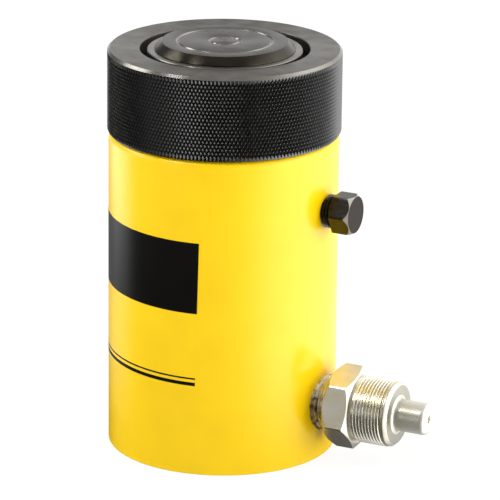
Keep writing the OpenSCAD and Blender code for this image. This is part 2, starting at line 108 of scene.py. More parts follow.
# Softboxes: name, place to the right, away and up in metres, width and height, watts, seen in mirrors
SOFTBOXES = [("left_softbox", (-1.05, 0.4, 0.95), (0.6, 0.5), 4.5, True),
             ("side_softbox", (-1.1, -0.04, 0.4), (0.5, 0.35), 2.6, True),
             ("small_softbox", (-0.85, -0.45, 1.25), (0.3, 0.22), 4.0, True),
             ("low_softbox", (-0.93, -0.76, 0.18), (0.4, 0.4), 0.65, True),
             ("front_fill", (-0.975, -0.82, 1.37), (0.9, 1.0), 11.5, False)]
LIGHT_AIM = Vector((0, 0, 0.1))


def millimetres(name, description, value, least=0.0):
    """A length property, given in millimetres."""
    return FloatProperty(name=name, description=description, default=value * MM, min=least * MM,
                         unit="LENGTH")


def degrees(name, description, value):
    """An angle property, given in degrees."""
    return FloatProperty(name=name, description=description, default=math.radians(value), subtype="ANGLE")


def colour(name, description, code):
    """A colour property, given as sRGB hex."""
    return StringProperty(name=name, description=description, default=code)


class CylinderSizes(bpy.types.PropertyGroup):
    """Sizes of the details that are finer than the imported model."""

    edge_round: millimetres("Edge round", "Rounding of the machined edges", 0.35)
    seat_chamfer: millimetres("Seat chamfer", "Chamfer round the top of the barrel", 1.8)
    wall: millimetres("Wall", "Wall of the barrel", 14.5)
    knurl_around: IntProperty(
        name="Knurl points", description="Knurl points round the lock nut", default=192, min=24)
    knurl_rows: IntProperty(
        name="Knurl rows", description="Knurl rows up the lock nut", default=11, min=2)
    knurl_depth: millimetres("Knurl depth", "Depth of the knurl's grooves", 0.7)
    knurl_slope: millimetres("Knurl slope", "Width of the sloping side of each knurl point", 0.6)
    knurl_bite: millimetres("Knurl bite", "How far the knurl's grooves run into the top chamfer", 0.95)
    nut_chamfer: millimetres("Nut chamfer", "Chamfer round the top of the lock nut", 1.15)
    nut_foot: millimetres("Nut foot", "Chamfer round the foot of the lock nut", 0.3)
    nut_mouth: millimetres("Nut mouth", "Radius of the lock nut's plain bore", 37.4)
    plunger_pitch: millimetres("Plunger pitch", "Pitch of the plunger's thread", 4.0, least=0.1)
    plunger_depth: millimetres("Plunger thread depth", "Depth of the plunger's thread", 2.0)
    groove: millimetres("Saddle groove", "Width of the grooves in the saddle's face", 1.5)
    male_pitch: millimetres("Coupler pitch", "Pitch of the coupler's male thread", 1.5, least=0.1)
    port_pitch: millimetres("Port pitch", "Pitch of the coupler's pipe thread", 1.8, least=0.1)
    plug_pitch: millimetres("Plug pitch", "Pitch of the overflow plug's thread", 1.4, least=0.1)


class CylinderColours(bpy.types.PropertyGroup):
    """Colours of the finishes, as sRGB hex."""

    enamel: colour("Enamel", "Sprayed enamel of the barrel", "#F6CB08")
    oxide: colour("Black oxide", "Black oxide of the knurl and the bolt", "#0B0B0A")
    gunmetal: colour("Gunmetal", "Turned faces of the lock nut", "#635F58")
    saddle: colour("Saddle", "Turned face of the saddle", "#3A362F")
    # Lighter steel: real wear on the lock nut's top chamfer, and a painted glint in the saddle's grooves
    wear_and_glint: colour("Worn edge", "Edges and grooves worn bright", "#8E8A82")
    plunger: colour("Plunger", "Turned steel of the plunger", "#807C75")
    zinc: colour("Zinc", "Zinc plate of the coupler", "#E2E0D6")
    # A darker copy of the zinc: painted shade on the coupler's end face
    shaded_end_face: colour("End face", "Duller plate of the coupler's end face", "#9A9993")
    plug: colour("Plug", "Oxide of the overflow plug", "#110D09")
    plug_face: colour("Plug face", "Oxide of the overflow plug's end", "#24211E")
    # Pale bare metal on the plug's chamfer: wear, made lighter still as a painted highlight
    plug_edge: colour("Plug edge", "Worn chamfer of the overflow plug", "#B9B5AE")
    film: colour("Film", "Dark print of the decal", "#121110")
    sealant: colour("Sealant", "Thread sealant", "#8A7442")
    dry_strand: colour("Dry strand", "Dry strands of the thread sealant", "#F0EAD8")
    inner_steel: colour("Inner steel", "Turned steel of the inner pieces", "#B4B4B1")
    polished: colour("Polished", "Polished steel of the check valve", "#D2D2D2")
    bronze: colour("Bronze", "Bronze of the guide ring", "#B08A4E")
    rubber: colour("Rubber", "Rubber of the seals", "#191919")
    seal: colour("Seal plastic", "Plastic of the backup rings", "#DFDACB")


class CylinderStage(bpy.types.PropertyGroup):
    """The camera of the photograph."""

    azimuth: degrees("Azimuth", "Turn of the camera from the coupler's side", 25.94)
    elevation: degrees("Elevation", "Height of the camera above the horizon", 17.824)
    roll: degrees("Roll", "Lean of the camera", 0.644)
    distance: millimetres("Distance", "Distance from the camera to its target", 1739.9, least=100)
    target_side: millimetres("Target side", "Place of the target right of the axis", 11.92, least=-500)
    target_height: millimetres("Target height", "Place of the target above the floor", 88.12, least=-500)
    lens: FloatProperty(
        name="Lens", description="Focal length on a 36 mm sensor", default=281.46, min=1.0)


def linear(code):
    """Turns an sRGB hex colour into linear red, green, blue and alpha."""
    parts = [int(code[i:i + 2], 16) / 255 for i in (1, 3, 5)]
    return [c / 12.92 if c <= 0.04045 else ((c + 0.055) / 1.055) ** 2.4 for c in parts] + [1.0]


def grey(level):
    """A linear grey."""
    return (level, level, level, 1.0)


def shade(tone, factor):
    """A linear colour made lighter or darker."""
    return [min(1.0, c * factor) for c in tone[:3]] + [1.0]


def tint(tone, red, green, blue):
    """A linear colour with its channels changed one by one."""
    return [tone[0] * red, tone[1] * green, tone[2] * blue, 1.0]


def fill(tree, node, inputs):
    """Fills a node's inputs with values, sockets or the first live output of other nodes."""
    for key, value in inputs.items():
        if isinstance(value, bpy.types.Node):
            value = next(socket for socket in value.outputs if socket.enabled)
        if isinstance(value, bpy.types.NodeSocket):
            tree.links.new(value, node.inputs[key])
        else:
            node.inputs[key].default_value = value


def add_node(tree, kind, inputs=None, stops=(), **settings):
    """Adds a node with its settings, its inputs and the (position, linear colour) stops of a ramp."""
    node = tree.nodes.new("ShaderNode" + kind)
    for key, value in settings.items():
        setattr(node, key, value)
    fill(tree, node, inputs or {})
    if stops:
        elements = node.color_ramp.elements
        while len(elements) < len(stops):
            elements.new(0.5)
        for element, (position, tone) in zip(elements, stops):
            element.position = position
            element.color = tone
    return node


def new_material(name):
    """Starts a material, and returns it with its tree, its shader and its object coordinates."""
    material = bpy.data.materials.new(name)
    material.use_nodes = True
    tree = material.node_tree
    place = add_node(tree, "TexCoord").outputs["Object"]
    return material, tree, tree.nodes["Principled BSDF"], place


def yellow_enamel(name, colours):
    """Sprayed gloss enamel: a slight orange peel, and a ragged darker patch below the coupler."""
    paint = linear(colours.enamel)
    mottle_size = 18 * MM
    peel_size = 1.6 * MM
    peel_depth = 0.1 * MM
    dark_patch_place = Vector((BARREL_HIGH.x, -4.5 * MM, COUPLER_Z - 13 * MM))
    dark_patch_reach = 7 * MM
    rag_size = 3 * MM
    material, tree, shader, place = new_material(name)
    mottle = add_node(tree, "TexNoise", {"Vector": place, "Scale": 1 / mottle_size, "Detail": 3.0})
    tone = add_node(tree, "ValToRGB", {"Fac": mottle},
                    stops=[(NOISE_LOW, shade(paint, 0.96)), (NOISE_HIGH, shade(paint, 1.03))])
    # Darkens a ragged patch of the paint below the coupler
    offset = add_node(tree, "VectorMath", {0: place, 1: dark_patch_place}, operation="DISTANCE")
    ragged = add_node(tree, "TexNoise", {"Vector": place, "Scale": 1 / rag_size, "Detail": 4.0})
    ragged_offset = add_node(tree, "Math", {0: ragged, 1: dark_patch_reach, 2: offset}, operation="MULTIPLY_ADD")
    dark_patch = add_node(tree, "ValToRGB", {"Fac": ragged_offset},
                     stops=[(4 * MM, grey(0.5)), (8 * MM, grey(0.0))])
    darkened = add_node(tree, "Mix", {"Factor": dark_patch, "A": tone, "B": shade(paint, 0.3)}, data_type="RGBA")
    peel = add_node(tree, "TexNoise", {"Vector": place, "Scale": 1 / peel_size, "Detail": 2.0})
    bump = add_node(tree, "Bump", {"Height": peel, "Strength": 0.06, "Distance": peel_depth})
    fill(tree, shader, {"Roughness": 0.24, "IOR": 1.42, "Base Color": darkened, "Normal": bump})
    return material


def turned_steel(name, code, roughness):
    """Lathe-turned steel: rings of tool marks round Z, with oil stains in the sheen."""
    steel = linear(code)
    # The tool marks are coarser than real ones, so that they show
    mark_size = 0.35 * MM
    mark_depth = 0.05 * MM
    stain_size = 9 * MM
    material, tree, shader, place = new_material(name)
    rings_run = add_node(tree, "Tangent", direction_type="RADIAL", axis="Z")
    flat = add_node(tree, "VectorMath", {0: place, 1: (1, 1, 0)}, operation="MULTIPLY")
    radius = add_node(tree, "VectorMath", {0: flat}, operation="LENGTH")
    rings = add_node(tree, "TexNoise", {"W": radius, "Scale": 1 / mark_size, "Detail": 2.0},
                     noise_dimensions="1D")
    stain = add_node(tree, "TexNoise", {"Vector": place, "Scale": 1 / stain_size, "Detail": 5.0})
    tone = add_node(tree, "ValToRGB", {"Fac": stain},
                    stops=[(NOISE_LOW, shade(steel, 0.78)), (NOISE_HIGH, shade(steel, 1.08))])
    sheen = add_node(tree, "MapRange", {"Value": stain, "From Min": NOISE_LOW, "From Max": NOISE_HIGH,
                                        "To Min": roughness * 1.2, "To Max": roughness * 0.85})
    bump = add_node(tree, "Bump", {"Height": rings, "Strength": 0.08, "Distance": mark_depth})
    fill(tree, shader, {"Metallic": 1.0, "Anisotropic": 0.75, "Anisotropic Rotation": 0.25,
                        "Tangent": rings_run, "Base Color": tone, "Roughness": sheen, "Normal": bump})
    return material


def black_oxide(name, code, roughness, ior):
    """Black oxide on steel: a thin dark skin, satin with oil, a little browner where it is thin."""
    skin = linear(code)
    brown = tint(skin, 1.9, 1.6, 1.3)
    patch_size = 4 * MM
    # The grain is coarser than the real one, so that it shows
    grain_size = 0.3 * MM
    grain_depth = 0.03 * MM
    material, tree, shader, place = new_material(name)
    patch = add_node(tree, "TexNoise", {"Vector": place, "Scale": 1 / patch_size, "Detail": 6.0})
    tone = add_node(tree, "ValToRGB", {"Fac": patch}, stops=[(0.35, shade(skin, 0.8)), (0.75, brown)])
    sheen = add_node(tree, "MapRange", {"Value": patch, "From Min": NOISE_LOW, "From Max": NOISE_HIGH,
                                        "To Min": roughness, "To Max": roughness * 1.3})
    grain = add_node(tree, "TexNoise", {"Vector": place, "Scale": 1 / grain_size, "Detail": 3.0})
    bump = add_node(tree, "Bump", {"Height": grain, "Strength": 0.15, "Distance": grain_depth})
    fill(tree, shader, {"IOR": ior, "Base Color": tone, "Roughness": sheen, "Normal": bump})
    return material


def zinc_plate(name, code, roughness, grain_size, metallic=1.0):
    """Bright plate or polish: a pale metal with a faint straw tint and a fine grain in its sheen."""
    plate = linear(code)
    straw = tint(plate, 0.95, 0.9, 0.78)
    cloud_size = 6 * MM
    grain_depth = 0.03 * MM
    material, tree, shader, place = new_material(name)
    cloud = add_node(tree, "TexNoise", {"Vector": place, "Scale": 1 / cloud_size, "Detail": 4.0})
    tone = add_node(tree, "ValToRGB", {"Fac": cloud}, stops=[(0.35, straw), (0.65, plate)])
    # The grain, given in millimetres, is coarser than the real one, so that it shows
    grain = add_node(tree, "TexNoise", {"Vector": place, "Scale": 1 / (grain_size * MM), "Detail": 4.0})
    sheen = add_node(tree, "MapRange", {"Value": grain, "From Min": NOISE_LOW, "From Max": NOISE_HIGH,
                                        "To Min": roughness * 0.8, "To Max": roughness * 1.25})
    bump = add_node(tree, "Bump", {"Height": grain, "Strength": 0.06, "Distance": grain_depth})
    fill(tree, shader, {"Metallic": metallic, "Base Color": tone, "Roughness": sheen, "Normal": bump})
    return material


def soft_solid(name, code, roughness, grain_size, ior=1.5):
    """Moulded rubber, plastic or print: an even colour, uneven over a grain given in millimetres."""
    base = linear(code)
    grain_depth = 0.1 * MM
    material, tree, shader, place = new_material(name)
    grain = add_node(tree, "TexNoise", {"Vector": place, "Scale": 1 / (grain_size * MM), "Detail": 5.0})
    tone = add_node(tree, "ValToRGB", {"Fac": grain},
                    stops=[(NOISE_LOW, shade(base, 0.8)), (NOISE_HIGH, shade(base, 1.15))])
    bump = add_node(tree, "Bump", {"Height": grain, "Strength": 0.2, "Distance": grain_depth})
    fill(tree, shader, {"Roughness": roughness, "IOR": ior, "Base Color": tone, "Normal": bump})
    return material


def thread_paste(colours):
    """Hemp and paste in the pipe thread: pale strands above, going over to dark ones below."""
    paste = linear(colours.sealant)
    dry = linear(colours.dry_strand)
    strand_size = 2.2 * MM
    strand_depth = 0.4 * MM
    dark_top = COUPLER_Z + 2 * MM
    pale_foot = COUPLER_Z + 9 * MM
    material, tree, shader, place = new_material("thread_paste")
    strands = add_node(tree, "TexNoise", {"Vector": place, "Scale": 1 / strand_size, "Detail": 4.0,
                                          "Distortion": 0.5})
    dark = add_node(tree, "ValToRGB", {"Fac": strands}, stops=[(0.4, shade(paste, 0.12)), (0.62, paste)])
    pale = add_node(tree, "ValToRGB", {"Fac": strands}, stops=[(0.33, paste), (0.45, dry)])
    # Dark strands below and pale strands above, blended by height
    up = add_node(tree, "SeparateXYZ", {"Vector": place}).outputs["Z"]
    height_blend = add_node(tree, "MapRange", {"Value": up, "From Min": dark_top, "From Max": pale_foot})
    tone = add_node(tree, "Mix", {"Factor": height_blend, "A": dark, "B": pale}, data_type="RGBA")
    bump = add_node(tree, "Bump", {"Height": strands, "Strength": 0.8, "Distance": strand_depth})
    fill(tree, shader, {"Roughness": 0.6, "Base Color": tone, "Normal": bump})
    return material


def everything(bm):
    """All of a bmesh's geometry."""
    return bm.verts[:] + bm.edges[:] + bm.faces[:]


def spin(bm, geom, angle, steps, rise=0.0, **options):
    """Spins geometry round Z, rising by the given height at each step."""
    bmesh.ops.spin(bm, geom=geom, cent=(0, 0, 0), axis=(0, 0, 1), dvec=(0, 0, rise), angle=angle,
                   steps=steps, **options)


def spin_profile(bm, points, steps=ROUND_STEPS, closed=True):
    """Spins a profile of (radius, height) points once round Z."""
    verts = [bm.verts.new((r, 0, z)) for r, z in points]
    pairs = list(zip(verts, verts[1:])) + ([(verts[-1], verts[0])] if closed else [])
    edges = [bm.edges.new(pair) for pair in pairs if pair[0].co.xy.length + pair[1].co.xy.length > 0]
    spin(bm, verts + edges, math.tau, steps, use_merge=True)
    bmesh.ops.remove_doubles(bm, verts=bm.verts, dist=WELD)
    bmesh.ops.dissolve_degenerate(bm, edges=bm.edges, dist=WELD)


def soften(bm, width, segments=3):
    """Bevels every sharp edge."""
    sharp_angle = math.radians(25)
    sharp = [e for e in bm.edges if e.is_manifold and e.calc_face_angle(0) > sharp_angle]
    bmesh.ops.bevel(bm, geom=sharp, offset=width, offset_type="OFFSET", affect="EDGES",
                    segments=segments, profile=0.5, material=-1, clamp_overlap=True)


def open_edges(bm):
    """The edges that have a face on one side alone."""
    return [e for e in bm.edges if e.is_boundary]


def close_ends(bm):
    """Fills each open loop with a face."""
    bmesh.ops.edgeloop_fill(bm, edges=open_edges(bm))


def paint_faces(bm, index):
    """Gives every face one of its piece's materials."""
    for face in bm.faces:
        face.material_index = index


def thread_rod(bm, crest, root, pitch, low, high, flat=0.12):
    """Screws one tooth up the Z axis, and trims the rod flat at both ends."""
    turn_weld = 1e-6
    turns = math.ceil((high - low) / pitch) + 2
    start = low - pitch
    tooth = [(root, 0.0), (root, flat / 2), (crest, 0.5 - flat / 2), (crest, 0.5 + flat / 2),
             (root, 1 - flat / 2), (root, 1.0)]
    verts = [bm.verts.new((r, 0, start + share * pitch)) for r, share in tooth]
    edges = [bm.edges.new(pair) for pair in zip(verts, verts[1:])]
    spin(bm, verts + edges, math.tau, THREAD_STEPS, rise=pitch / THREAD_STEPS)
    spin(bm, everything(bm), 0, turns - 1, rise=pitch, use_duplicate=True)
    bmesh.ops.remove_doubles(bm, verts=bm.verts, dist=turn_weld)
    for height, side in ((low, -1), (high, 1)):
        bmesh.ops.bisect_plane(bm, geom=everything(bm), plane_co=(0, 0, height),
                               plane_no=(0, 0, side), clear_outer=True, dist=WELD)
    close_ends(bm)


def limit_radius(bm, limit):
    """Pulls each point in to the radius that limit gives at its height."""
    for vert in bm.verts:
        radius = vert.co.xy.length
        most = limit(vert.co.z)
        if radius > most:
            vert.co.xy = vert.co.xy * (most / radius)


def extrude_ring(bm, edges):
    """Extrudes a loop of edges in place, and returns its new points, edges and faces."""
    grown = bmesh.ops.extrude_edge_only(bm, edges=edges)["geom"]
    verts = [g for g in grown if isinstance(g, bmesh.types.BMVert)]
    rim = [g for g in grown if isinstance(g, bmesh.types.BMEdge) and g.is_boundary]
    faces = [g for g in grown if isinstance(g, bmesh.types.BMFace)]
    return verts, rim, faces


def loft(bm, rings, segments):
    """Stacks rings, each a function of the angle that gives a radius and a height, and closes the ends."""
    ring = bmesh.ops.create_circle(bm, cap_ends=False, radius=1.0, segments=segments)["verts"]
    edges = list({e for v in ring for e in v.link_edges})
    for index, shape in enumerate(rings):
        if index:
            ring, edges, _ = extrude_ring(bm, edges)
        for vert in ring:
            angle = math.atan2(vert.co.y, vert.co.x)
            radius, height = shape(angle)
            vert.co = (radius * math.cos(angle), radius * math.sin(angle), height)
    close_ends(bm)


def hex_head(bm, across, low, high, turn, face_share, lean, back_lean=0.0):
    """Hex with a turned chamfer at its outer end, and one at its back where back_lean is given."""
    flat = across / 2
    face = flat * face_share
    corner_limit = 0.992 * flat / math.cos(math.pi / 6)

    def wall(angle):
        local = (angle - turn) % (math.pi / 3) - math.pi / 6
        return min(flat / math.cos(local), corner_limit)

    def spare(angle):
        return wall(angle) - face

    loft(bm, [lambda a: (face, low), lambda a: (wall(a), low + spare(a) * back_lean),
              lambda a: (wall(a), high - spare(a) * lean), lambda a: (face, high)], HEX_STEPS)


def along_x(bm, height):
    """Lays a shape that stands on Z along +X at the given height."""
    matrix = Matrix.Translation((0, 0, height)) @ Matrix.Rotation(math.pi / 2, 4, "Y")
    bmesh.ops.transform(bm, matrix=matrix, verts=bm.verts)


def join(target, source):
    """Moves one bmesh into another."""
    mesh = bpy.data.meshes.new("joined")
    source.to_mesh(mesh)
    source.free()
    target.from_mesh(mesh)
    bpy.data.meshes.remove(mesh)


def finish_piece(bm, name, body, materials, replaced=(), corner=30):
    """Turns a bmesh into a piece that rides on a body and stands for the replaced nodes."""
    bmesh.ops.remove_doubles(bm, verts=bm.verts, dist=WELD)
    bmesh.ops.recalc_face_normals(bm, faces=bm.faces)
    mesh = bpy.data.meshes.new(name)
    bm.to_mesh(mesh)
    bm.free()
    for material in materials:
        mesh.materials.append(material)
    mesh.shade_smooth()
    mesh.set_sharp_from_angle(angle=math.radians(corner))
    piece = bpy.data.objects.new(name, mesh)
    bpy.context.scene.collection.objects.link(piece)
    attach(piece, body)
    if replaced:
        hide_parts(*replaced)
    return piece


class CYLINDER_OT_barrel(bpy.types.Operator):
    """Make the enamelled barrel with its rounded edges"""

    bl_idname = "cylinder.barrel"
    bl_label = "Barrel"

    def execute(self, context):
        sizes = context.scene.cylinder_sizes
        outer = BARREL_HIGH.x
        inner = outer - sizes.wall
        top = BARREL_HIGH.z
        plug_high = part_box("base_plug")[1]
        bm = bmesh.new()
        spin_profile(bm, [
            (plug_high.x, 0), (outer, 0), (outer, top - sizes.seat_chamfer),
            (outer - sizes.seat_chamfer, top), (inner, top), (inner, plug_high.z),
            (plug_high.x, plug_high.z)])
        soften(bm, sizes.edge_round * 2, segments=4)
        finish_piece(bm, "barrel_shell", "barrel",
                     [yellow_enamel("yellow_enamel", context.scene.cylinder_colours)], ["barrel"])
        return {"FINISHED"}


class CYLINDER_OT_decal(bpy.types.Operator):
    """Make the printed film: a dark panel and two stripes, with no words"""

    bl_idname = "cylinder.decal"
    bl_label = "Decal"

    def execute(self, context):
        colours = context.scene.cylinder_colours
        film = soft_solid("decal_print", colours.film, roughness=0.25, grain_size=30, ior=1.2)
        clear = yellow_enamel("decal_clear_film", colours)
        edge = math.radians(-76.3)
        sweep = math.radians(150)
        sweep_steps = 90
        tilt = 0.022
        film_thickness = 0.04 * MM
        print_thickness = 0.08 * MM
        low = DECAL_LOW.z
        middle = (DECAL_LOW.z + DECAL_HIGH.z) / 2
        # Each band's name, its lower and upper edge above the film's lower edge, thickness and finish
        bands = [("decal_film", 0.0, DECAL_HIGH.z - low, film_thickness, clear),
                 ("decal_panel", 35.15 * MM, 67.35 * MM, print_thickness, film),
                 ("decal_thin_stripe", 4.85 * MM, 5.6 * MM, print_thickness, film),
                 ("decal_thick_stripe", 1.9 * MM, 3.5 * MM, print_thickness, film)]
        for name, bottom, top, thickness, material in bands:
            inner = BARREL_HIGH.x
            outer = inner + thickness
            corners = [(inner, bottom), (outer, bottom), (outer, top), (inner, top)]
            bm = bmesh.new()
            verts = [bm.verts.new((r, 0, low + z)) for r, z in corners]
            edges = [bm.edges.new(pair) for pair in zip(verts, verts[1:] + verts[:1])]
            spin(bm, verts + edges, -sweep, sweep_steps)
            close_ends(bm)
            for vert in bm.verts:
                back = -math.atan2(vert.co.y, vert.co.x) % math.tau
                lean = tilt * (vert.co.z - middle) / outer
                vert.co.z += tilt * outer * back
                vert.co = Matrix.Rotation(edge + lean, 3, "Z") @ vert.co
            finish_piece(bm, name, "barrel", [material], ["decal"])
        return {"FINISHED"}


class CYLINDER_OT_lock_nut(bpy.types.Operator):
    """Make the knurled lock nut with its turned ends and a plain bore"""

    bl_idname = "cylinder.lock_nut"
    bl_label = "Lock nut"

    def execute(self, context):
        sizes = context.scene.cylinder_sizes
        colours = context.scene.cylinder_colours
        low = NUT_LOW.z + sizes.nut_foot
        high = NUT_HIGH.z - sizes.nut_chamfer
        bm = bmesh.new()
        self.knurl(bm, sizes, low, high)
        self.bite(bm, sizes, (low + high) / 2)
        self.turned_ends(bm, sizes, (low + high) / 2)
        steel = turned_steel("turned_gunmetal", colours.gunmetal, roughness=0.34)
        finish_piece(bm, "knurled_lock_nut", "lock_nut",
                     [black_oxide("oxide_knurl", colours.oxide, roughness=0.23, ior=1.75), steel,
                      turned_steel("worn_edge", colours.wear_and_glint, roughness=0.25)], ["lock_nut"], corner=12)
        return {"FINISHED"}

    def knurl(self, bm, sizes, low, high):
        """One column of diamonds, spun round the nut, with a flat point raised on each."""
        weld = 0.02 * MM
        valley = NUT_HIGH.x - sizes.knurl_depth
        row = (high - low) / sizes.knurl_rows
        step = math.tau / sizes.knurl_around

        def point(turn, height):
            angle = turn * step
            return bm.verts.new((valley * math.cos(angle), valley * math.sin(angle), height))

        def diamond(turn, height):
            bm.faces.new([point(turn - 0.5, height), point(turn, height - row / 2),
                          point(turn + 0.5, height), point(turn, height + row / 2)])

        for k in range(sizes.knurl_rows):
            diamond(0.5, low + (k + 0.5) * row)
            if k:
                diamond(0.0, low + k * row)
        bm.faces.new([point(-0.5, high), point(0, high - row / 2), point(0.5, high)])
        bm.faces.new([point(-0.5, low), point(0.5, low), point(0, low + row / 2)])
        spin(bm, everything(bm), math.tau - step, sizes.knurl_around - 1, use_duplicate=True)
        bmesh.ops.remove_doubles(bm, verts=bm.verts, dist=weld)
        bmesh.ops.recalc_face_normals(bm, faces=bm.faces)
        diamonds = [f for f in bm.faces if len(f.verts) == 4]
        bmesh.ops.inset_individual(bm, faces=diamonds, thickness=sizes.knurl_slope,
                                   depth=sizes.knurl_depth, use_even_offset=True)

    def bite(self, bm, sizes, middle):
        """Runs the knurl's grooves up into the top chamfer, so that its edge is toothed."""
        rims = open_edges(bm)
        corners = {v for e in rims for v in e.verts}
        bmesh.ops.subdivide_edges(bm, edges=rims, cuts=1)
        for vert in {v for e in open_edges(bm) for v in e.verts if v.co.z > middle}:
            if vert in corners:
                vert.co.z += sizes.knurl_bite
                vert.co.xy = vert.co.xy.normalized() * (NUT_HIGH.x - sizes.knurl_bite)
            else:
                vert.co.xy = vert.co.xy.normalized() * NUT_HIGH.x

    def turned_ends(self, bm, sizes, middle):
        """Closes the knurl with a worn chamfer, a turned top, the bore and a dark foot."""
        knurl_index, steel_index, worn_index = range(3)
        bore = sizes.nut_mouth
        mouth = bore + sizes.edge_round
        foot = NUT_HIGH.x - sizes.knurl_depth - sizes.nut_foot
        turned = [(NUT_HIGH.x - sizes.nut_chamfer, NUT_HIGH.z, worn_index),
                  (mouth, NUT_HIGH.z, steel_index),
                  (bore, NUT_HIGH.z - sizes.edge_round, steel_index),
                  (bore, NUT_LOW.z + sizes.edge_round, steel_index),
                  (mouth, NUT_LOW.z, steel_index),
                  (foot, NUT_LOW.z, steel_index)]
        edges = [e for e in open_edges(bm) if e.verts[0].co.z > middle]
        bottom = [e for e in open_edges(bm) if e.verts[0].co.z < middle]
        for radius, height, index in turned:
            verts, edges, faces = extrude_ring(bm, edges)
            for vert in verts:
                vert.co.xy = vert.co.xy.normalized() * radius
                vert.co.z = height
            for face in faces:
                face.material_index = index
        for face in bmesh.ops.bridge_loops(bm, edges=edges + bottom)["faces"]:
            face.material_index = knurl_index


class CYLINDER_OT_plunger(bpy.types.Operator):
    """Make the plunger with its trapezoidal thread and chamfered end"""

    bl_idname = "cylinder.plunger"
    bl_label = "Plunger"

    def execute(self, context):
        sizes = context.scene.cylinder_sizes
        root = PLUNGER_HIGH.x - sizes.plunger_depth
        top = PLUNGER_HIGH.z
        end = top - sizes.plunger_pitch
        land_foot = end - OVERLAP
        chamfer = 0.35 * MM
        bm = bmesh.new()
        thread_rod(bm, PLUNGER_HIGH.x, root, sizes.plunger_pitch, PLUNGER_LOW.z, end, flat=0.34)
        limit_radius(bm, lambda z: root + max(0, min(end - z, z - PLUNGER_LOW.z)))
        land = bmesh.new()
        spin_profile(land, [(0, land_foot), (root, land_foot), (root, top - chamfer),
                            (root - chamfer, top), (0, top)], closed=False)
        join(bm, land)
        steel = turned_steel("turned_plunger", context.scene.cylinder_colours.plunger, roughness=0.3)
        finish_piece(bm, "threaded_plunger", "plunger", [steel], ["plunger"])
        return {"FINISHED"}


class CYLINDER_OT_saddle(bpy.types.Operator):
    """Make the grooved saddle with its wide chamfer"""

    bl_idname = "cylinder.saddle"
    bl_label = "Saddle"

    def execute(self, context):
        sizes = context.scene.cylinder_sizes
        colours = context.scene.cylinder_colours
        outer = SADDLE_HIGH.x
        top = SADDLE_HIGH.z
        seat = PLUNGER_HIGH.z
        spigot = 14 * MM
        chamfer = 3.3 * MM
        groove_rings = (20.75 * MM, 6.5 * MM)
        groove_reach = 25 * MM
        half = sizes.groove / 2
        floor_half = half * 0.25
        floor = top - 0.65 * MM
        below_face = top - 0.02 * MM
        profile = [(0, SADDLE_LOW.z), (spigot, SADDLE_LOW.z), (spigot, seat), (outer, seat),
                   (outer, top - chamfer), (outer - chamfer, top)]
        for ring in groove_rings:
            profile += [(ring + half, top), (ring + floor_half, floor),
                        (ring - floor_half, floor), (ring - half, top)]
        profile += [(0, top)]
        bm = bmesh.new()
        spin_profile(bm, profile, closed=False)
        soften(bm, sizes.edge_round * 0.7)
        # The groove faces take the lighter steel as a painted glint along the grooves
        for face in bm.faces:
            middle = face.calc_center_median()
            in_groove = middle.xy.length < groove_reach and seat < middle.z < below_face
            face.material_index = int(in_groove)
        finish_piece(bm, "grooved_saddle", "plunger",
                     [turned_steel("turned_saddle", colours.saddle, roughness=0.26),
                      turned_steel("groove_painted_glint", colours.wear_and_glint, roughness=0.25)], ["saddle"])
        return {"FINISHED"}


class CYLINDER_OT_overflow_plug(bpy.types.Operator):
    """Make the hex plug of the overflow port"""

    bl_idname = "cylinder.overflow_plug"
    bl_label = "Overflow plug"

    def execute(self, context):
        sizes = context.scene.cylinder_sizes
        colours = context.scene.cylinder_colours
        across = 16.6 * MM
        crest = 7.45 * MM
        root = crest - 0.8 * MM
        head_low = BARREL_HIGH.x + 4.3 * MM
        neck_low = head_low - 1.2 * MM
        tip = PLUG_HIGH.x - 0.01 * MM
        side_index, end_index, edge_index = range(3)
        bm = bmesh.new()
        thread_rod(bm, crest, root, sizes.plug_pitch, PLUG_LOW.x, head_low + OVERLAP)
        limit_radius(bm, lambda z: crest - max(0, z - neck_low))
        head = bmesh.new()
        hex_head(head, across, head_low, PLUG_HIGH.x, math.pi / 6, face_share=0.985, lean=1.5)
        join(bm, head)
        # The chamfer faces take a pale plate: wear, made lighter still as a painted highlight
        for face in bm.faces:
            face.material_index = side_index
            if max(v.co.z for v in face.verts) > tip:
                face.material_index = end_index if len(face.verts) > 4 else edge_index
        along_x(bm, PLUG_Z)
        finish_piece(bm, "overflow_hex_plug", "barrel",
                     [black_oxide("oxide_plug", colours.plug, roughness=0.24, ior=1.5),
                      black_oxide("oxide_plug_face", colours.plug_face, roughness=0.6, ior=1.25),
                      zinc_plate("plug_edge_wear_and_highlight", colours.plug_edge, roughness=0.35, grain_size=0.5)],
                     ["overflow_plug"], corner=20)
        return {"FINISHED"}


